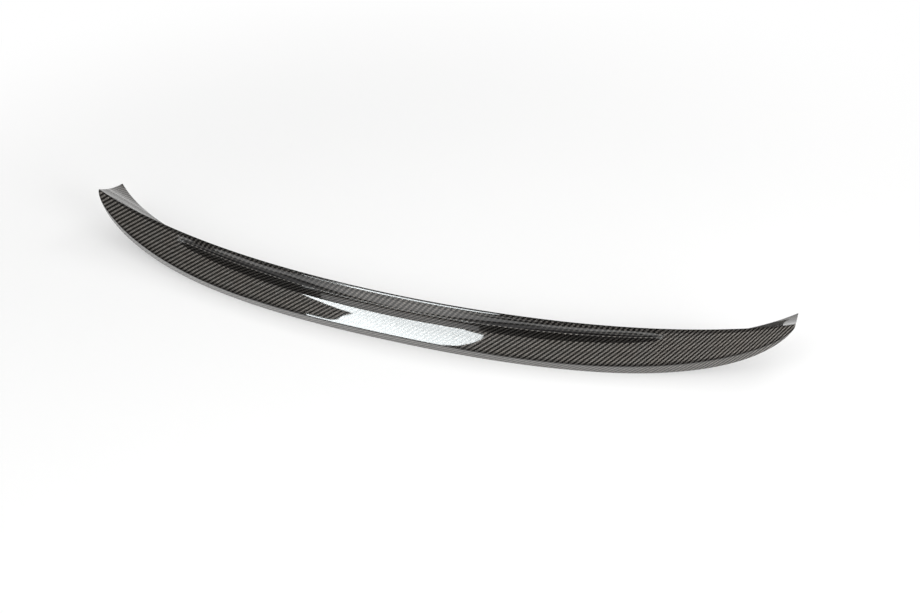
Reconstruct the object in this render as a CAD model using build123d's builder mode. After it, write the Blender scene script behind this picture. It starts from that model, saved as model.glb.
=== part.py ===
# Boot-lid lip spoiler: one moulded woven-fibre skin, open underneath, with a grooved lip along its ridge.
# X runs along the span, +Y points to the front of the car, +Z is up, and the rear return stands on z = 0.
import os
from math import atan2, cos, radians, sin, sqrt
from build123d import *

# Span and skin
half_span = 626.5
wall = 2.6

# Ridge: height at the middle, rise and forward sweep at the tips
ridge_height = 55.3
tip_rise = 34.0
tip_rise_power = 3.75
ridge_sweep = 85.1
ridge_sweep_power = 2.115
ridge_radius = 2.0

# Woven rear face, from the sharp rear edge up to the ridge
face_width = 74.2
face_end_power = 2.95
face_slope = 25.5
face_twist = 24.0
face_crown = 0.015
edge_radius = 0.9

# Undercut return, from the rear edge down to the lid
return_slope = 59.5
return_twist = 27.0
return_twist_power = 5.0
lift_start = 0.56
lift_power = 1.5

# Front ramp, from the ridge down to the leading edge, and the ears it grows into at the tips
ramp_depth = 34.0
ear_depth = 36.6
ear_power = 9.5
ear_lift = 58.8
ear_lift_power = 2.8
ramp_hollow = 0.09
ear_hollow = 0.05

# Groove below the lip
groove_end = 0.693
groove_reach = 26.0
groove_close = 14.0
lip_land = 6.0
floor_width = 20.0
corner_radius = 1.6
lip_radius = 6.0
start_radius = 6.0
round_share = 0.5

# Stations, as fractions of the half span
skin_stations = (0.0, 0.1, 0.2, 0.3, 0.4, 0.48, 0.56, 0.63, 0.69, 0.74, 0.79, 0.83, 0.865, 0.895)
tip_stations = (0.92, 0.942, 0.96, 0.975, 0.988, 0.998)
groove_stations = (0.0, 0.18, 0.34, 0.46, 0.55, 0.62, 0.66, 0.68, 0.69)


def point(start, length, direction):
    return (start[0] + length * direction[0], start[1] + length * direction[1])


def turned(direction):
    return (direction[1], -direction[0])


def mixed(first, second, share):
    """Direction that has turned from the first to the second by a share of their difference."""
    mix = (first[0] + share * (second[0] - first[0]), first[1] + share * (second[1] - first[1]))
    size = sqrt(mix[0] ** 2 + mix[1] ** 2)
    return (mix[0] / size, mix[1] / size)


def between(start, end, bulge, side):
    """Middle of the arc from start to end, bulging to the given side by a share of the chord."""
    chord = sqrt((end[0] - start[0]) ** 2 + (end[1] - start[1]) ** 2)
    middle = ((start[0] + end[0]) / 2, (start[1] + end[1]) / 2)
    return point(middle, bulge * chord, side)


def rounded(corner, back, ahead, radius):
    """Start, middle and end of a round of this radius on a corner between two directions."""
    half = (1 + back[0] * ahead[0] + back[1] * ahead[1]) / 2
    reach = radius * sqrt(half / (1 - half))
    into = (back[0] + ahead[0], back[1] + ahead[1])
    size = sqrt(into[0] ** 2 + into[1] ** 2)
    depth = radius / sqrt(1 - half) - radius
    middle = point(corner, depth / size, into)
    return point(corner, reach, back), middle, point(corner, reach, ahead)


def mitred(corner, first_normal, second_normal):
    """Inner corner of the skin below an outer corner."""
    share = wall / (1 + first_normal[0] * second_normal[0] + first_normal[1] * second_normal[1])
    return (
        corner[0] + share * (first_normal[0] + second_normal[0]),
        corner[1] + share * (first_normal[1] + second_normal[1]),
    )


# The lines of the spoiler at a fraction of the half span, as (y, z) from the middle of the rear edge
def face_direction(u):
    slope = radians(face_slope + face_twist * u**2)
    return (cos(slope), sin(slope))


def face_chord(u):
    return face_width * sqrt(1 - u**face_end_power)


def ridge(u):
    start = face_width * cos(radians(face_slope))
    return (start + ridge_sweep * u**ridge_sweep_power, ridge_height + tip_rise * u**tip_rise_power)


def rear_edge(u):
    return point(ridge(u), -face_chord(u), face_direction(u))


def return_direction(u):
    slope = radians(return_slope + return_twist * u**return_twist_power)
    return (cos(slope), -sin(slope))


def return_foot(u):
    edge, down = rear_edge(u), return_direction(u)
    lifted = max(0.0, (u - lift_start) / (1 - lift_start))
    fall = max(edge[1] * (1 - lifted**lift_power), wall)
    return point(edge, -fall / down[1], down)


def leading_edge(u):
    top = ridge(u)
    foot = (top[0] + ramp_depth + ear_depth * u**ear_power, ear_lift * u**ear_lift_power)
    slope = atan2(top[1] - foot[1], foot[0] - top[0])
    return (foot[0], foot[1] + wall * cos(slope))


depth = leading_edge(1.0)[0]


def station(x):
    return Plane(origin=(x, -depth / 2, 0), x_dir=(0, 1, 0), z_dir=(1, 0, 0))


def skin_outline(u):
    """Outer line from the return's foot over the ridge to the leading edge, and the inner line back."""
    foot, edge, top, lead = return_foot(u), rear_edge(u), ridge(u), leading_edge(u)
    along = face_direction(u)
    down = return_direction(u)
    ramp_length = sqrt((lead[0] - top[0]) ** 2 + (lead[1] - top[1]) ** 2)
    ramp = ((lead[0] - top[0]) / ramp_length, (lead[1] - top[1]) / ramp_length)
    under_face, under_ramp = turned(along), turned(ramp)
    behind_return = (-down[1], down[0])
    chord = face_chord(u)
    fall = (foot[1] - edge[1]) / down[1]

    edge_from, edge_middle, edge_to = rounded(edge, down, along, min(edge_radius, 0.15 * chord, 0.15 * fall))
    back = (-along[0], -along[1])
    top_from, top_middle, top_to = rounded(top, back, ramp, min(ridge_radius, 0.15 * chord))

    top_in = mitred(top, under_face, under_ramp)
    edge_mitre = mitred(edge, under_face, behind_return)
    inner_chord = (top_in[0] - edge_mitre[0]) * along[0] + (top_in[1] - edge_mitre[1]) * along[1]
    edge_in = point(top_in, -max(inner_chord, 0.25 * chord), along)
    foot_mitre = point(foot, wall, behind_return)
    inner_fall = (foot_mitre[0] - edge_in[0]) * down[0] + (foot_mitre[1] - edge_in[1]) * down[1]
    foot_in = point(edge_in, max(inner_fall, 0.25 * fall), down)
    lead_in = point(lead, wall, under_ramp)

    above_face = (-under_face[0], -under_face[1])
    hollow = ramp_hollow + (ear_hollow - ramp_hollow) * u**4
    Line(foot, edge_from)
    ThreePointArc(edge_from, edge_middle, edge_to)
    ThreePointArc(edge_to, between(edge_to, top_from, face_crown, above_face), top_from)
    ThreePointArc(top_from, top_middle, top_to)
    ThreePointArc(top_to, between(top_to, lead, hollow, under_ramp), lead)
    Line(lead, lead_in)
    ThreePointArc(lead_in, between(lead_in, top_in, hollow, under_ramp), top_in)
    ThreePointArc(top_in, between(top_in, edge_in, face_crown, above_face), edge_in)
    Line(edge_in, foot_in)
    Line(foot_in, foot)


def on_face(u, reach):
    """Point on the crowned rear face at a distance below the ridge."""
    along = face_direction(u)
    share = reach / face_chord(u)
    crown = 4 * face_crown * face_chord(u) * share * (1 - share)
    return point(point(ridge(u), -reach, along), -crown, turned(along))


def groove_lines(u):
    """Where the groove starts on the face, its corner, and the edge of the lip above it."""
    start = on_face(u, groove_close + groove_reach * sqrt(1 - (u / groove_end) ** 1.6))
    corner = (start[0] + floor_width * sqrt(1 - (u / groove_end) ** 6), start[1])
    return start, corner, on_face(u, lip_land)


def groove_wall(u):
    """Direction up the groove's wall, from the corner to the lip."""
    start, corner, lip = groove_lines(u)
    rise = sqrt((lip[0] - corner[0]) ** 2 + (lip[1] - corner[1]) ** 2)
    return ((lip[0] - corner[0]) / rise, (lip[1] - corner[1]) / rise)


def groove_hollow(u):
    """The groove itself, open above the face."""
    start, corner, lip = groove_lines(u)
    upright = groove_wall(u)
    down_wall = (-upright[0], -upright[1])
    along = face_direction(u)
    over_lip = mixed(upright, along, round_share)
    over_start = mixed((-1.0, 0.0), (-along[0], -along[1]), round_share)
    size = min(corner_radius, 0.2 * (corner[0] - start[0]))
    start_from, start_middle, start_to = rounded(start, over_start, (1.0, 0.0), start_radius)
    corner_from, corner_middle, corner_to = rounded(corner, (-1.0, 0.0), upright, size)
    lip_from, lip_middle, lip_to = rounded(lip, down_wall, over_lip, lip_radius)
    start_above = point(start_from, lip_land, over_start)
    lip_above = point(lip_to, lip_land, over_lip)
    Line(start_above, start_from)
    ThreePointArc(start_from, start_middle, start_to)
    Line(start_to, corner_from)
    ThreePointArc(corner_from, corner_middle, corner_to)
    Line(corner_to, lip_from)
    ThreePointArc(lip_from, lip_middle, lip_to)
    Line(lip_to, lip_above)
    Line(lip_above, start_above)


def groove_back(u):
    """The skin carried round under the groove."""
    start, corner, lip = groove_lines(u)
    upright = groove_wall(u)
    under_face, under_floor, behind_wall = turned(face_direction(u)), (0.0, -1.0), turned(upright)
    start_in = mitred(start, under_face, under_floor)
    corner_in = mitred(corner, under_floor, behind_wall)
    lip_in = mitred(lip, behind_wall, under_face)
    start_held = (start_in[0] - 0.5 * wall / face_direction(u)[1], start_in[1])
    lip_held = point(lip_in, 0.5 * wall, upright)
    Polyline(start_held, corner_in, lip_held, close=True)


def full_span(fractions):
    return [-u for u in reversed(fractions[1:])] + list(fractions)


# The moulded skin, one loft from tip to tip
with BuildPart() as spoiler:
    for u in full_span(skin_stations + tip_stations):
        with BuildSketch(station(u * half_span)):
            with BuildLine():
                skin_outline(abs(u))
            make_face()
    loft()

    # The groove pressed into the rear face, with the skin carried round under it
    for u in full_span(groove_stations):
        with BuildSketch(station(u * half_span)):
            with BuildLine():
                groove_back(abs(u))
            make_face()
    loft()
    for u in full_span(groove_stations):
        with BuildSketch(station(u * half_span)):
            with BuildLine():
                groove_hollow(abs(u))
            make_face()
    loft(mode=Mode.SUBTRACT)

spoiler.part.label = "spoiler"
os.makedirs("parts", exist_ok=True)
export_step(spoiler.part, "parts/spoiler.step")
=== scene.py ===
from math import atan2, cos, pi, radians, sin, sqrt, tan

import bmesh
import bpy
from mathutils import Matrix, Vector


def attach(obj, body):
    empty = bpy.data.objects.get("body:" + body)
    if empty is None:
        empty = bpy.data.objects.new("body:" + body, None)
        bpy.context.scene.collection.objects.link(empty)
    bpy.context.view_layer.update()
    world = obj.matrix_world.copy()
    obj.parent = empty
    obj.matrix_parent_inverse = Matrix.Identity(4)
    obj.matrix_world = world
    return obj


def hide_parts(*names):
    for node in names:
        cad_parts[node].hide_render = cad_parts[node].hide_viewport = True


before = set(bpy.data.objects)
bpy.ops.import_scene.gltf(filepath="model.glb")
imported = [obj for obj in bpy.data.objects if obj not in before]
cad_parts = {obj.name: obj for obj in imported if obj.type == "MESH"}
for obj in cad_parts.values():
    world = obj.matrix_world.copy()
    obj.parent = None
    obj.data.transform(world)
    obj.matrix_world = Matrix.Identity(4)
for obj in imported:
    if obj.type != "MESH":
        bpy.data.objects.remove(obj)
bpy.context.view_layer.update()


# Woven skin
# The whole spoiler is one thin skin of twill-woven carbon fibre in clear resin, open underneath.
# It is laid up in one mould, so its cloth runs unbroken over the return, the rear face, the groove, the lip and the
# ears. The mesh is a grid drawn over the lines of the mould, closed round the wall and capped at the tips.

# Span and wall, in millimetres; the mesh stops just short of the share of the half span where the face closes, and the
# inner line keeps a least share of the outer one there
half_span = 626.5
tip_share = 0.9978
closed_share = 0.998
wall = 2.6
least_inner = 0.25

# Ridge
ridge_height = 55.3
tip_rise = 33.8
tip_rise_power = 3.75
ridge_sweep = 85.1
ridge_sweep_power = 2.115
ridge_radius = 1.0
ridge_room = 0.14
crest_rise = 2.1
crest_end = 0.95
crest_power = 1.3

# Rear face, from the sharp rear edge up to the ridge
face_width = 74.2
face_end_power = 2.95
face_slope = 25.5
face_twist = 24.0
face_crown = 0.015
edge_radius = 1.2
edge_room = 0.15

# Undercut return below the rear edge
return_slope = 59.5
return_twist = 27.0
return_twist_power = 5.0
lift_start = 0.56
lift_power = 1.5

# Front ramp and the ears it grows into
ramp_depth = 34.0
ear_depth = 36.6
ear_power = 9.5
ear_lift = 58.8
ear_lift_power = 2.8
ramp_hollow = 0.09
ear_hollow = 0.05
hollow_power = 4

# Groove below the lip; beyond its ends its rows lie flat on the face, and draw in where the face is narrow
groove_end = 0.693
groove_reach = 26.0
groove_close = 14.0
groove_close_power = 1.6
lip_land = 6.0
lip_radius = 20.0
lip_room = 0.84
wall_bow = 0.04
floor_width = 20.0
floor_close_power = 6
corner_radius = 1.6
corner_room = 0.2
start_radius = 3.0
start_room = 0.4
flat_corner = 0.96
narrow_face = 3 * groove_close


def turned(direction):
    return Vector((direction.y, -direction.x))


def clamped(share):
    return min(1.0, max(0.0, share))


bulge_slope = 4


def bulge(share):
    """Height of a shallow arc over its chord, where the middle is 1, and its ends rise with the bulge's slope."""
    return bulge_slope * share * (1 - share)


def face_direction(u):
    slope = radians(face_slope + face_twist * u**2)
    return Vector((cos(slope), sin(slope)))


def crest(u):
    """How far the ridge stands up past its plain line, along the face, between the middle and the tips."""
    return crest_rise * sin(pi * min(1.0, u / crest_end) ** crest_power)


def face_chord(u):
    return face_width * sqrt(1 - (u / closed_share) ** face_end_power) + crest(u)


def plain_ridge(u):
    start = face_width * cos(radians(face_slope))
    return Vector((start + ridge_sweep * u**ridge_sweep_power, ridge_height + tip_rise * u**tip_rise_power))


def ridge(u):
    return plain_ridge(u) + crest(u) * face_direction(u)


def rear_edge(u):
    return ridge(u) - face_chord(u) * face_direction(u)


def return_direction(u):
    slope = radians(return_slope + return_twist * u**return_twist_power)
    return Vector((cos(slope), -sin(slope)))


def return_foot(u):
    edge, down = rear_edge(u), return_direction(u)
    lifted = max(0.0, (u - lift_start) / (1 - lift_start))
    fall = max(edge.y * (1 - lifted**lift_power), wall)
    return edge - fall / down.y * down


def leading_edge(u):
    top = plain_ridge(u)
    foot = Vector((top.x + ramp_depth + ear_depth * u**ear_power, ear_lift * u**ear_lift_power))
    slope = atan2(top.y - foot.y, foot.x - top.x)
    return foot + Vector((0.0, wall * cos(slope)))


def on_face(u, reach):
    """Point on the crowned rear face at a distance below the ridge."""
    along, chord = face_direction(u), face_chord(u)
    return ridge(u) - reach * along - face_crown * chord * bulge(reach / chord) * turned(along)


def eased(count):
    """Shares from 0 to 1 that crowd at both ends, so that the rounds there keep clean highlights."""
    return [(1 - cos(pi * k / count)) / 2 for k in range(count + 1)]


def straight(start, end, count):
    return [start.lerp(end, share) for share in eased(count)]


def rounded(corner, back, ahead, radius, room, count):
    """Points of a round on the corner between two directions, reaching no further than the room there is."""
    half_opening = back.angle(ahead) / 2
    reach = min(radius / tan(half_opening), room)
    radius = reach * tan(half_opening)
    centre = corner + (back + ahead).normalized() * radius / sin(half_opening)
    first, last = corner + reach * back - centre, corner + reach * ahead - centre
    return [centre + radius * first.slerp(last, k / count, first).normalized() for k in range(count + 1)]


def groove_lines(u):
    """Distances of the groove's start and of the lip below the ridge, and the start, the corner and the lip."""
    if u < groove_end:
        closing = u / groove_end
        lip_reach = crest(u) + lip_land
        start_reach = crest(u) + groove_close + groove_reach * sqrt(1 - closing**groove_close_power)
        corner = on_face(u, start_reach) + Vector((floor_width * sqrt(1 - closing**floor_close_power), 0.0))
    else:
        narrow = min(1.0, face_chord(u) / narrow_face)
        start_reach, lip_reach = (crest(u) + groove_close) * narrow, (crest(u) + lip_land) * narrow
        corner = on_face(u, flat_corner * start_reach)
    return start_reach, lip_reach, on_face(u, start_reach), corner, on_face(u, lip_reach)


def mitred(corner, first_normal, second_normal):
    """Inner corner of the skin below an outer corner."""
    return corner + (first_normal + second_normal) * wall / (1 + first_normal.dot(second_normal))


# Rows of the mesh in each line of a section, round the outside from the return's foot and back along the inside
return_rows, edge_rows, face_rows, start_rows, floor_rows = 7, 6, 22, 5, 7
corner_rows, wall_rows, lip_rows, land_rows, ridge_rows, ramp_rows = 6, 7, 6, 5, 9, 18
lead_rows, inner_ramp_rows, inner_land_rows, inner_wall_rows = 2, 12, 3, 5
inner_floor_rows, inner_face_rows, inner_return_rows, foot_rows = 5, 12, 5, 2
below_groove = return_rows + edge_rows + face_rows
above_groove = below_groove + start_rows + floor_rows + corner_rows + wall_rows + lip_rows
outer_rows = above_groove + land_rows + ridge_rows + ramp_rows


def skin_section(u):
    """Points round the skin at a share of the half span, and the place of each one across the flat cloth."""
    foot, edge, top, lead = return_foot(u), rear_edge(u), ridge(u), leading_edge(u)
    along, chord = face_direction(u), face_chord(u)
    under_face = turned(along)
    down = return_direction(u)
    fall = (foot - edge).length
    ramp, ramp_length = (lead - top).normalized(), (lead - top).length
    under_ramp = turned(ramp)
    hollow = ramp_hollow + (ear_hollow - ramp_hollow) * u**hollow_power
    start_reach, lip_reach, start, corner, lip = groove_lines(u)
    floor = (corner - start).length
    ahead, upright = (corner - start).normalized(), (lip - corner).normalized()
    out_of_wall = -turned(upright)
    bow = wall_bow if u < groove_end else 0.0

    # Outer rounds, each between the true directions of the lines that it joins
    up_face = (along - bulge_slope * face_crown * under_face).normalized()
    down_face = (-along - bulge_slope * face_crown * under_face).normalized()
    down_ramp = (ramp + bulge_slope * hollow * under_ramp).normalized()
    wall_foot = (upright + bulge_slope * bow * out_of_wall).normalized()
    wall_head = (upright - bulge_slope * bow * out_of_wall).normalized()
    edge_round = rounded(edge, down, up_face, edge_radius, edge_room * min(chord, fall), edge_rows)
    start_round = rounded(start, -along, ahead, start_radius, start_room * floor, start_rows)
    corner_round = rounded(corner, -ahead, wall_foot, corner_radius, corner_room * floor, corner_rows)
    lip_round = rounded(lip, -wall_head, along, lip_radius, lip_room * lip_reach, lip_rows)
    top_round = rounded(top, down_face, down_ramp, ridge_radius, ridge_room * lip_reach, ridge_rows)
    wall_low, wall_high = corner_round[-1], lip_round[0]
    wall_height = (wall_high - wall_low).length
    front_from = (top_round[-1] - top).dot(ramp) / ramp_length

    def along_face(first, last, count):
        near, far = (top - first).dot(along), (top - last).dot(along)
        return [on_face(u, near + (far - near) * share) for share in eased(count)]

    def up_wall(share):
        return wall_low.lerp(wall_high, share) + bow * wall_height * bulge(share) * out_of_wall

    def down_front(share):
        return top + ramp_length * (share * ramp + hollow * bulge(share) * under_ramp)

    # Inner line, one wall below the outer one
    behind_return = Vector((-down.y, down.x))
    top_in = mitred(top, under_face, under_ramp)
    edge_mitre = mitred(edge, under_face, behind_return)
    inner_chord = max((top_in - edge_mitre).dot(along), least_inner * chord)
    edge_in = top_in - inner_chord * along
    foot_mitre = foot + wall * behind_return
    foot_in = edge_in + max((foot_mitre - edge_in).dot(down), least_inner * fall) * down
    lead_in = lead + wall * under_ramp
    inner_ramp = (top_in - lead_in).length

    def up_inner_ramp(share):
        return lead_in.lerp(top_in, share) + hollow * inner_ramp * bulge(share) * under_ramp

    def on_inner_face(share):
        return top_in.lerp(edge_in, share) - face_crown * inner_chord * bulge(share) * under_face

    if u < groove_end:
        lip_in = mitred(lip, turned(upright), under_face)
        corner_in = mitred(corner, turned(ahead), turned(upright))
        start_in = mitred(start, under_face, turned(ahead))
    else:
        lip_in = on_inner_face(lip_reach / chord)
        corner_in = on_inner_face(flat_corner * start_reach / chord)
        start_in = on_inner_face(start_reach / chord)
    lip_share = (top_in - lip_in).dot(along) / inner_chord
    start_share = (top_in - start_in).dot(along) / inner_chord

    lines = (
        straight(foot, edge_round[0], return_rows),
        edge_round,
        along_face(edge_round[-1], start_round[0], face_rows),
        start_round,
        straight(start_round[-1], corner_round[0], floor_rows),
        corner_round,
        [up_wall(share) for share in eased(wall_rows)],
        lip_round,
        along_face(lip_round[-1], top_round[0], land_rows),
        top_round,
        [down_front(front_from + (1 - front_from) * share) for share in eased(ramp_rows)],
        straight(lead, lead_in, lead_rows),
        [up_inner_ramp(share) for share in eased(inner_ramp_rows)],
        [on_inner_face(lip_share * share) for share in eased(inner_land_rows)],
        straight(lip_in, corner_in, inner_wall_rows),
        straight(corner_in, start_in, inner_floor_rows),
        [on_inner_face(start_share + (1 - start_share) * share) for share in eased(inner_face_rows)],
        straight(edge_in, foot_in, inner_return_rows),
        straight(foot_in, foot, foot_rows),
    )
    points = [foot]
    for line in lines:
        points += line[1:]

    # The cloth is flat over the groove's mouth, so the weave on the face doesn't shift where the groove ends
    length = [0.0]
    for before, after in zip(points, points[1:]):
        length.append(length[-1] + (after - before).length)
    low, high = length[below_groove], length[above_groove]
    cloth = []
    for place in length:
        if place < low:
            cloth.append(place - low - start_reach)
        elif place < high:
            cloth.append((place - low) / (high - low) * (start_reach - lip_reach) - start_reach)
        else:
            cloth.append(place - high - lip_reach)
    return points, cloth


# Painted shade: the cloth's tone is darkened in the groove, where its floor and wall lie in shade, and on the rear edge
# and the ridge as painted dark lines. It is darkened less in the middle of the span, which is lit more, and a painted
# highlight brightens the groove's corner. Each list gives rows and the share of the cloth's tone that is kept there.
floor_row = below_groove + start_rows
corner_row = floor_row + floor_rows
wall_row = corner_row + corner_rows
edge_row = return_rows + edge_rows
ridge_row = above_groove + land_rows + ridge_rows
edge_painted_shade = ((return_rows - 2, 1.0), (return_rows, 0.4), (edge_row, 0.25), (edge_row + 3, 0.4), (edge_row + 6, 1.0))
groove_painted_shade_and_glint = (
    (below_groove, 1.0), (floor_row, 0.25), (corner_row, 0.25), (corner_row + corner_rows // 2, 1.4), (wall_row, 0.08),
    (wall_row + wall_rows // 2, 0.1), (wall_row + wall_rows, 0.3), (above_groove, 0.5), (above_groove + land_rows, 1.0),
)
ridge_painted_shade = ((above_groove - 2, 1.0), (above_groove + 1, 0.45), (ridge_row, 0.45), (ridge_row + 3, 1.0))
groove_fade = 0.02
lit_middle, lit_middle_fade, lit_middle_share = 0.27, 0.15, 0.8


def between_knots(knots, place):
    for (before, first), (after, last) in zip(knots, knots[1:]):
        if before <= place <= after:
            return first + (last - first) * (place - before) / (after - before)
    return 1.0


def painted_shade_share(row, u):
    """Share of the cloth's tone kept at a row and a share of the half span, under the painted shade and highlight."""
    in_groove = clamped((groove_end - u) / groove_fade) * (1 - lit_middle_share * clamped((lit_middle - u) / lit_middle_fade))
    on_edges = between_knots(edge_painted_shade, row) * between_knots(ridge_painted_shade, row)
    return on_edges * (1 + in_groove * (between_knots(groove_painted_shade_and_glint, row) - 1))


# Stations from tip to tip, closer at the ends of the groove and at the tips: the share of the half span at which each
# run of stations ends, and how many are in it
station_runs = ((0.52, 50), (0.66, 24), (0.6928, 20), (0.6934, 2), (0.71, 5), (0.9, 30), (tip_share, 30))
half_stations = [0.0]
for to_share, count in station_runs:
    reached = half_stations[-1]
    half_stations += [reached + (to_share - reached) * sin(pi / 2 * (k + 1) / count) for k in range(count)]
stations = [-u for u in reversed(half_stations[1:])] + half_stations
sections = [skin_section(abs(u)) for u in stations]
columns, row_count = len(stations), len(sections[0][0])
middle_depth = leading_edge(1.0).x / 2

# Place of each station along the cloth, measured along the ridge. The cloth lies a little askew, more so to the right,
# and it is pulled tighter towards the right tip.
askew, askew_change = 0.02, 0.07
loose_pull, tip_pull, pull_power = 0.97, 0.4, 3


def cloth_pull(u):
    return loose_pull + tip_pull * max(0.0, u) ** pull_power


ridge_line = [Vector((u * half_span, *ridge(abs(u)))) for u in stations]
cloth_along, cloth_shift = [0.0], [0.0]
for u, before, after in zip(stations, ridge_line, ridge_line[1:]):
    step = cloth_pull(u) * (after - before).length
    cloth_along.append(cloth_along[-1] + step)
    cloth_shift.append(cloth_shift[-1] + (askew + askew_change * u) * step)

# The grid over the sections, in metres: coated cloth outside and round both edges, bare cloth inside
per_metre = 1000
same_point = 1e-7
sharp_angle = radians(38)
skin = bmesh.new()
bmesh.ops.create_grid(skin, x_segments=columns - 1, y_segments=row_count - 1, size=1.0)
skin.verts.index_update()
cloth_map = skin.loops.layers.uv.new("cloth")
# Per-vertex painted shade of the groove, rear edge and ridge, with a painted highlight in the groove's corner
painted_shade = skin.verts.layers.float.new("painted_shade")
for face in skin.faces:
    face.smooth = True
    rows = [corner.vert.index // columns for corner in face.loops]
    coated = max(rows) <= outer_rows + lead_rows or min(rows) >= row_count - 1 - foot_rows
    face.material_index = 0 if coated else 1
    for corner in face.loops:
        row, column = divmod(corner.vert.index, columns)
        cloth_across = cloth_pull(stations[column]) * sections[column][1][row] - cloth_shift[column]
        corner[cloth_map].uv = (cloth_along[column] / per_metre, cloth_across / per_metre)
for vert in skin.verts:
    row, column = divmod(vert.index, columns)
    across, height = sections[column][0][row]
    vert.co = Vector((stations[column] * half_span, across - middle_depth, height)) / per_metre
    vert[painted_shade] = painted_shade_share(row, abs(stations[column]))
bmesh.ops.remove_doubles(skin, verts=skin.verts, dist=same_point)
bmesh.ops.holes_fill(skin, edges=[edge for edge in skin.edges if edge.is_boundary], sides=0)
bmesh.ops.recalc_face_normals(skin, faces=skin.faces)
for edge in skin.edges:
    edge.smooth = edge.calc_face_angle(0.0) < sharp_angle
skin_mesh = bpy.data.meshes.new("woven_skin")
skin.to_mesh(skin_mesh)
skin.free()
spoiler_skin = bpy.data.objects.new("spoiler_skin", skin_mesh)
bpy.context.collection.objects.link(spoiler_skin)


def feed(tree, socket, value):
    """Link another socket to this one, or set it to a plain value."""
    if isinstance(value, bpy.types.NodeSocket):
        tree.links.new(value, socket)
    else:
        socket.default_value = value


def math_node(tree, operation, *values):
    """A Math node fed by sockets or plain numbers; gives its result."""
    node = tree.nodes.new("ShaderNodeMath")
    node.operation = operation
    for socket, value in zip(node.inputs, values):
        feed(tree, socket, value)
    return node.outputs[0]


def range_node(tree, value, low, high, to_low, to_high, steps="LINEAR"):
    """A Map Range node from one pair of ends to another; gives its result."""
    node = tree.nodes.new("ShaderNodeMapRange")
    node.interpolation_type = steps
    feed(tree, node.inputs["Value"], value)
    for name, end in zip(("From Min", "From Max", "To Min", "To Max"), (low, high, to_low, to_high)):
        feed(tree, node.inputs[name], end)
    return node.outputs["Result"]


def colour_node(tree, blend, factor, first, second):
    """A Mix node of two colours; gives its result."""
    node = tree.nodes.new("ShaderNodeMix")
    node.data_type = "RGBA"
    node.blend_type = blend
    for name, value in (("Factor", factor), ("A", first), ("B", second)):
        feed(tree, node.inputs[name], value)
    return node.outputs["Result"]


# The weave itself: two-over-two twill of flat tows, one set along the span and one across it
weave = bpy.data.node_groups.new("twill_weave", "ShaderNodeTree")
weave.interface.new_socket("Cloth", in_out="INPUT", socket_type="NodeSocketVector")
weave.interface.new_socket("Tows per metre", in_out="INPUT", socket_type="NodeSocketFloat")
for name in ("Along on top", "Tow height", "Fibres", "Tow tone"):
    weave.interface.new_socket(name, in_out="OUTPUT", socket_type="NodeSocketFloat")
weave_in = weave.nodes.new("NodeGroupInput")
weave_out = weave.nodes.new("NodeGroupOutput")


def weave_math(operation, *values):
    return math_node(weave, operation, *values)


def weave_mix(mask, off, on):
    """Off where the mask is 0 and on where it is 1."""
    return weave_math("ADD", off, weave_math("MULTIPLY", mask, weave_math("SUBTRACT", on, off)))


# Which tow of each set a place lies on, and which set is on top there
repeat = 4.0
scaled = weave.nodes.new("ShaderNodeVectorMath")
scaled.operation = "SCALE"
weave.links.new(weave_in.outputs["Cloth"], scaled.inputs[0])
weave.links.new(weave_in.outputs["Tows per metre"], scaled.inputs["Scale"])
split = weave.nodes.new("ShaderNodeSeparateXYZ")
weave.links.new(scaled.outputs[0], split.inputs[0])
span_place, rise_place = split.outputs["X"], split.outputs["Y"]
span_tow, rise_tow = weave_math("FLOOR", span_place), weave_math("FLOOR", rise_place)
span_part, rise_part = weave_math("FRACT", span_place), weave_math("FRACT", rise_place)
turn = weave_math("FLOORED_MODULO", weave_math("SUBTRACT", span_tow, rise_tow), repeat)
along_top = weave_math("LESS_THAN", turn, repeat / 2 - 0.5)

# Height of the tow on top, arched along its float over two tows and crowned across its width
arch_share, crown_share = 0.55, 0.45
turn_back = weave_math("SUBTRACT", repeat - 1, turn)
float_along = weave_math("MULTIPLY", weave_math("ADD", span_part, turn), 2 / repeat)
float_across = weave_math("MULTIPLY", weave_math("ADD", rise_part, turn_back), 2 / repeat)
float_part = weave_mix(along_top, float_across, float_along)
width_part = weave_mix(along_top, span_part, rise_part)
arch = weave_math("SINE", weave_math("MULTIPLY", float_part, pi))
off_centre = weave_math("SUBTRACT", weave_math("MULTIPLY", width_part, 2.0), 1.0)
crown = weave_math("SUBTRACT", 1.0, weave_math("MULTIPLY", off_centre, off_centre))
tow_height = weave_math("ADD", weave_math("MULTIPLY", arch, arch_share), weave_math("MULTIPLY", crown, crown_share))

# Fine fibres along the tow on top, and a tone for each tow
fibres_in_tow, fibre_length = 9.0, 0.5
tow_middle, rise_tones = 0.5, 4000.5
span_fine, span_slow = (weave_math("MULTIPLY", span_place, scale) for scale in (fibres_in_tow, fibre_length))
rise_fine, rise_slow = (weave_math("MULTIPLY", rise_place, scale) for scale in (fibres_in_tow, fibre_length))
fibre_place = weave.nodes.new("ShaderNodeCombineXYZ")
weave.links.new(weave_mix(along_top, span_fine, span_slow), fibre_place.inputs["X"])
weave.links.new(weave_mix(along_top, rise_slow, rise_fine), fibre_place.inputs["Y"])
fibres = weave.nodes.new("ShaderNodeTexNoise")
fibres.noise_dimensions = "2D"
fibres.inputs["Scale"].default_value = 1.0
fibres.inputs["Detail"].default_value = 1.0
weave.links.new(fibre_place.outputs[0], fibres.inputs["Vector"])
tow_tone = weave.nodes.new("ShaderNodeTexWhiteNoise")
tow_tone.noise_dimensions = "1D"
span_tone, rise_tone = weave_math("ADD", span_tow, tow_middle), weave_math("ADD", rise_tow, rise_tones)
weave.links.new(weave_mix(along_top, span_tone, rise_tone), tow_tone.inputs["W"])
weave.links.new(along_top, weave_out.inputs["Along on top"])
weave.links.new(tow_height, weave_out.inputs["Tow height"])
weave.links.new(fibres.outputs[0], weave_out.inputs["Fibres"])
weave.links.new(tow_tone.outputs["Value"], weave_out.inputs["Tow tone"])

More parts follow.
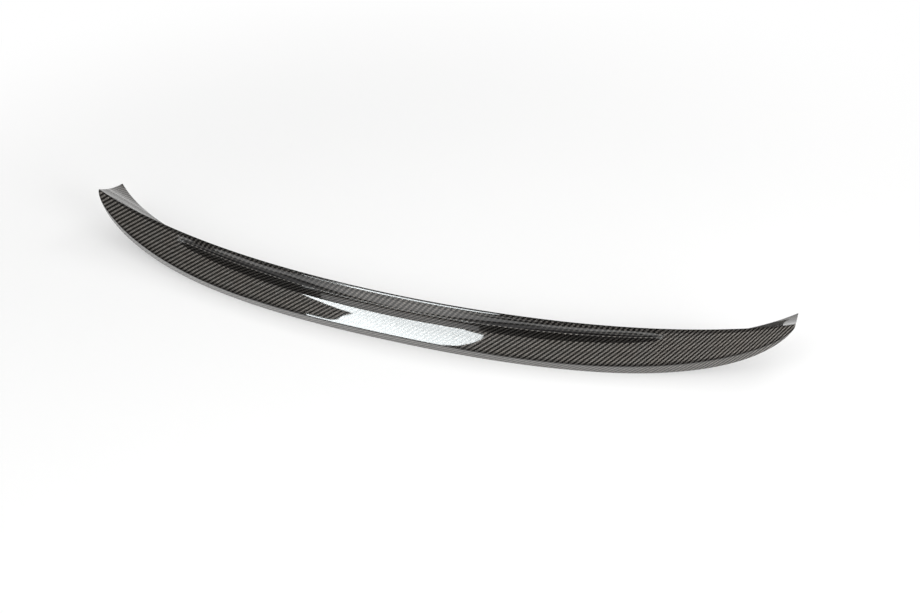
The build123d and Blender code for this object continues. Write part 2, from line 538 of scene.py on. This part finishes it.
# Two finishes of the same cloth: clear-coated outside, bare resin inside the mould's open back
tow_width = 2.28
crown_heights, crown_shades = (0.1, 1.0), (0.25, 1.25)
fibre_noise, fibre_shades = (0.3, 0.7), (0.8, 1.2)
tow_tones, tow_shades = (0.0, 1.0), (0.8, 1.2)
warm_tint, cool_tint = (1.06, 0.99, 0.94, 1.0), (1.0, 1.0, 1.0, 1.0)


def cloth_finish(name, bright, dark, roughness, coat):
    finish = bpy.data.materials.new(name)
    finish.use_nodes = True
    tree = finish.node_tree
    nodes, links = tree.nodes, tree.links
    shader = nodes["Principled BSDF"]
    shader.inputs["Roughness"].default_value = roughness
    shader.inputs["Specular IOR Level"].default_value = 0.05
    shader.inputs["Coat Weight"].default_value = coat
    shader.inputs["Coat Roughness"].default_value = 0.03
    place = nodes.new("ShaderNodeUVMap")
    place.uv_map = "cloth"
    twill = nodes.new("ShaderNodeGroup")
    twill.node_tree = weave
    twill.inputs["Tows per metre"].default_value = per_metre / tow_width
    links.new(place.outputs["UV"], twill.inputs["Cloth"])

    # Lay of the tows: those along the span catch the light, those across it stay dark
    lay = colour_node(tree, "MIX", twill.outputs["Along on top"], (*dark, 1.0), (*bright, 1.0))

    # Painted shade over each float: brightest on its crown, with fine fibres and a tone of its own, and the painted
    # shade and highlight of the groove and the edges
    crown_shade = range_node(tree, twill.outputs["Tow height"], *crown_heights, *crown_shades)
    fibre_shade = range_node(tree, twill.outputs["Fibres"], *fibre_noise, *fibre_shades)
    tow_shade = range_node(tree, twill.outputs["Tow tone"], *tow_tones, *tow_shades)
    # The painted shade and highlight, read from the skin's attribute
    painted_shade_node = nodes.new("ShaderNodeAttribute")
    painted_shade_node.attribute_name = "painted_shade"
    shade = crown_shade
    for part in (fibre_shade, tow_shade, painted_shade_node.outputs["Fac"]):
        shade = math_node(tree, "MULTIPLY", shade, part)

    # Resin tint, drifting slowly between a warm and a cool grey along the cloth
    drift = nodes.new("ShaderNodeTexNoise")
    drift.noise_dimensions = "2D"
    drift.inputs["Scale"].default_value = 28.0
    drift.inputs["Detail"].default_value = 2.0
    links.new(place.outputs["UV"], drift.inputs["Vector"])
    tint = colour_node(tree, "MIX", drift.outputs[0], warm_tint, cool_tint)
    colour = nodes.new("ShaderNodeVectorMath")
    colour.operation = "SCALE"
    links.new(colour_node(tree, "MULTIPLY", 1.0, lay, tint), colour.inputs[0])
    links.new(shade, colour.inputs["Scale"])
    links.new(colour.outputs[0], shader.inputs["Base Color"])

    bump = nodes.new("ShaderNodeBump")
    bump.inputs["Strength"].default_value = 0.5
    bump.inputs["Distance"].default_value = 0.0002
    links.new(twill.outputs["Tow height"], bump.inputs["Height"])
    links.new(bump.outputs["Normal"], shader.inputs["Normal"])
    return finish


coated_bright, coated_dark = (0.142, 0.137, 0.129), (0.011, 0.011, 0.010)
bare_bright, bare_dark = (0.085, 0.084, 0.08), (0.012, 0.012, 0.011)
skin_mesh.materials.append(cloth_finish("clear_coated_twill", coated_bright, coated_dark, roughness=0.42, coat=1.0))
skin_mesh.materials.append(cloth_finish("bare_twill", bare_bright, bare_dark, roughness=0.6, coat=0.0))
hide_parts("spoiler")
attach(spoiler_skin, "root")


# Floor
# The near-white studio floor that the spoiler lies on. As the camera sees it, straight or in the gloss, it keeps the
# shadows beside the spoiler and grows plain white further out.
floor_half, floor_drop = 40.0, 0.0002
shadow_reach, white_reach = 0.55, 1.5
least_glow = 0.4


def flat_piece(name, outline, height):
    """A flat piece of the studio with this outline."""
    flat = bmesh.new()
    flat.faces.new([flat.verts.new((x, y, height)) for x, y in outline])
    mesh = bpy.data.meshes.new(name)
    flat.to_mesh(mesh)
    flat.free()
    piece = bpy.data.objects.new(name, mesh)
    bpy.context.collection.objects.link(piece)
    return piece


floor_outline = [(x * floor_half, y * floor_half) for x, y in ((-1, -1), (1, -1), (1, 1), (-1, 1))]
studio_floor = flat_piece("studio_floor", floor_outline, -floor_drop)
white = bpy.data.materials.new("white_floor")
white.use_nodes = True
floor_tree = white.node_tree
floor_nodes, floor_links = floor_tree.nodes, floor_tree.links
paint = floor_nodes["Principled BSDF"]
paint.inputs["Base Color"].default_value = (0.93, 0.93, 0.925, 1.0)
paint.inputs["Roughness"].default_value = 0.9
paint.inputs["Specular IOR Level"].default_value = 0.1
glow = floor_nodes.new("ShaderNodeEmission")
glow.inputs["Color"].default_value = (1.0, 1.0, 1.0, 1.0)
glow.inputs["Strength"].default_value = 1.0
ray = floor_nodes.new("ShaderNodeLightPath")
seen = math_node(floor_tree, "MAXIMUM", ray.outputs["Is Camera Ray"], ray.outputs["Is Glossy Ray"])
seen = math_node(floor_tree, "MAXIMUM", seen, ray.outputs["Is Transmission Ray"])
floor_place = floor_nodes.new("ShaderNodeTexCoord")
floor_reach = floor_nodes.new("ShaderNodeVectorMath")
floor_reach.operation = "LENGTH"
floor_links.new(floor_place.outputs["Object"], floor_reach.inputs[0])
reach_glow = range_node(
    floor_tree, floor_reach.outputs["Value"], shadow_reach, white_reach, least_glow, 1.0, steps="SMOOTHSTEP"
)
floor_mix = floor_nodes.new("ShaderNodeMixShader")
floor_links.new(math_node(floor_tree, "MULTIPLY", seen, reach_glow), floor_mix.inputs["Fac"])
floor_links.new(paint.outputs[0], floor_mix.inputs[1])
floor_links.new(glow.outputs[0], floor_mix.inputs[2])
floor_links.new(floor_mix.outputs[0], floor_nodes["Material Output"].inputs["Surface"])
studio_floor.data.materials.append(white)


# Light
# A plain soft studio: an overhead fill and a key at the right, which don't show in the gloss, and panels that do, in
# the groove, the lip, the left ear and the front ramp. A softbox above the spoiler lies on the middle of the rear face
# as a highlight that ends in a notch, and a dark card on the floor lies in the right ear.

# The softbox, brightest on the side near the camera
softbox_height = 1.55
softbox_outline = (
    (-0.95, -0.02), (-0.95, -0.165), (-0.70, -0.189), (-0.765, -0.265), (-0.79, -0.31), (-0.83, -0.334),
    (-0.97, -0.358), (-0.97, -0.42), (-0.76, -0.375), (-0.60, -0.355), (-0.30, -0.368), (-0.19, -0.362),
    (-0.14, -0.32), (-0.118, -0.27), (-0.124, -0.22), (-0.21, -0.17), (-0.21, -0.02),
)
near_glow, far_glow = 23.5, 17.0
near_place, far_place = -0.5, -0.3
glow_direction = (0.35, 1.0, 0.0)


def only_reflected(piece):
    piece.visible_camera = False
    piece.visible_diffuse = False
    piece.visible_shadow = False


softbox = flat_piece("softbox", softbox_outline, softbox_height)
only_reflected(softbox)
lit = bpy.data.materials.new("lit_cloth")
lit.use_nodes = True
lit_tree = lit.node_tree
lit_nodes, lit_links = lit_tree.nodes, lit_tree.links
lit_nodes.remove(lit_nodes["Principled BSDF"])
lit_glow = lit_nodes.new("ShaderNodeEmission")
lit_glow.inputs["Color"].default_value = (0.93, 0.985, 1.0, 1.0)
lit_place = lit_nodes.new("ShaderNodeTexCoord")
lit_reach = lit_nodes.new("ShaderNodeVectorMath")
lit_reach.operation = "DOT_PRODUCT"
lit_reach.inputs[1].default_value = glow_direction
lit_links.new(lit_place.outputs["Object"], lit_reach.inputs[0])
lit_strength = range_node(lit_tree, lit_reach.outputs["Value"], near_place, far_place, near_glow, far_glow)
lit_links.new(lit_strength, lit_glow.inputs["Strength"])
lit_links.new(lit_glow.outputs[0], lit_nodes["Material Output"].inputs["Surface"])
softbox.data.materials.append(lit)

# The dark card, which lies on the floor before the right ear and shows only in its reflection
card_height = 0.001
card_outline = ((0.2, 0.13), (0.61, 0.13), (0.45, 0.75), (0.3, 1.3), (0.2, 1.3))
dark_card = flat_piece("dark_card", card_outline, card_height)
only_reflected(dark_card)
dark_paper = bpy.data.materials.new("dark_paper")
dark_paper.use_nodes = True
paper = dark_paper.node_tree.nodes["Principled BSDF"]
paper.inputs["Base Color"].default_value = (0.02, 0.02, 0.02, 1.0)
paper.inputs["Roughness"].default_value = 1.0
paper.inputs["Specular IOR Level"].default_value = 0.0
dark_card.data.materials.append(dark_paper)


def soft_panel(name, place, width, height, energy, reflected):
    """A rectangular area lamp that faces the spoiler, and shows in its gloss or not."""
    lamp = bpy.data.lights.new(name, "AREA")
    lamp.shape = "RECTANGLE"
    lamp.size, lamp.size_y, lamp.energy = width, height, energy
    panel = bpy.data.objects.new(name, lamp)
    panel.location = place
    panel.rotation_euler = (-Vector(place)).to_track_quat("-Z", "Y").to_euler()
    panel.visible_camera = False
    panel.visible_glossy = reflected
    bpy.context.collection.objects.link(panel)


# The fill and the key; panels for the groove's wall and the lip, the groove's floor, the left ear and the front ramp
soft_panel("overhead_fill", (0.9, 0.0, 4.0), width=9.0, height=9.0, energy=195.0, reflected=False)
soft_panel("right_key", (2.3, -1.2, 0.9), width=1.2, height=1.2, energy=52.0, reflected=False)
soft_panel("back_panel", (-1.0, -3.0, 1.9), width=3.8, height=1.5, energy=45.0, reflected=True)
soft_panel("upper_panel", (-1.15, -1.75, 2.9), width=1.7, height=1.6, energy=15.0, reflected=True)
soft_panel("front_panel", (-0.79, 1.75, 1.55), width=0.55, height=0.7, energy=1.4, reflected=True)
soft_panel("front_card", (-1.75, 4.0, 1.15), width=2.1, height=1.6, energy=12.5, reflected=True)
soft_panel("far_panel", (1.5, 2.4, 2.3), width=1.8, height=1.0, energy=20.0, reflected=True)

# The sky, white at the horizon and dim above
horizon_rise, sky_rise = 0.04, 0.3
horizon_glow, sky_glow = 1.0, 0.01
studio = bpy.data.worlds.new("studio")
studio.use_nodes = True
bpy.context.scene.world = studio
sky_tree = studio.node_tree
sky_nodes, sky_links = sky_tree.nodes, sky_tree.links
sky = sky_nodes["Background"]
sky.inputs["Color"].default_value = (1.0, 1.0, 1.0, 1.0)
sky_place = sky_nodes.new("ShaderNodeTexCoord")
sky_split = sky_nodes.new("ShaderNodeSeparateXYZ")
sky_links.new(sky_place.outputs["Generated"], sky_split.inputs[0])
sky_strength = range_node(
    sky_tree, sky_split.outputs["Z"], horizon_rise, sky_rise, horizon_glow, sky_glow, steps="SMOOTHSTEP"
)
sky_links.new(sky_strength, sky.inputs["Strength"])


# Camera
# Above the right-hand end, looking down on the spoiler from behind the car.
# Its lens and angles were fitted to the spoiler's edges in the photograph.
picture_width, focal_pixels = 920.0, 1200.0
camera_place = (0.64197, -1.50704, 1.22572)
yaw, elevation, roll = radians(20.1335), radians(36.862), radians(-0.7789)
level_right = Vector((cos(yaw), sin(yaw), 0.0))
forward = Vector((-sin(yaw) * cos(elevation), cos(yaw) * cos(elevation), -sin(elevation)))
level_up = level_right.cross(forward)
camera_right = cos(roll) * level_right + sin(roll) * level_up
camera_up = cos(roll) * level_up - sin(roll) * level_right
lens = bpy.data.cameras.new("camera")
lens.sensor_width = 36.0
lens.sensor_fit = "HORIZONTAL"
lens.lens = focal_pixels * lens.sensor_width / picture_width
camera = bpy.data.objects.new("camera", lens)
turn_to = Matrix((camera_right, camera_up, -forward)).transposed().to_4x4()
camera.matrix_world = Matrix.Translation(camera_place) @ turn_to
bpy.context.collection.objects.link(camera)
bpy.context.scene.camera = camera
bpy.context.scene.view_settings.view_transform = "Standard"
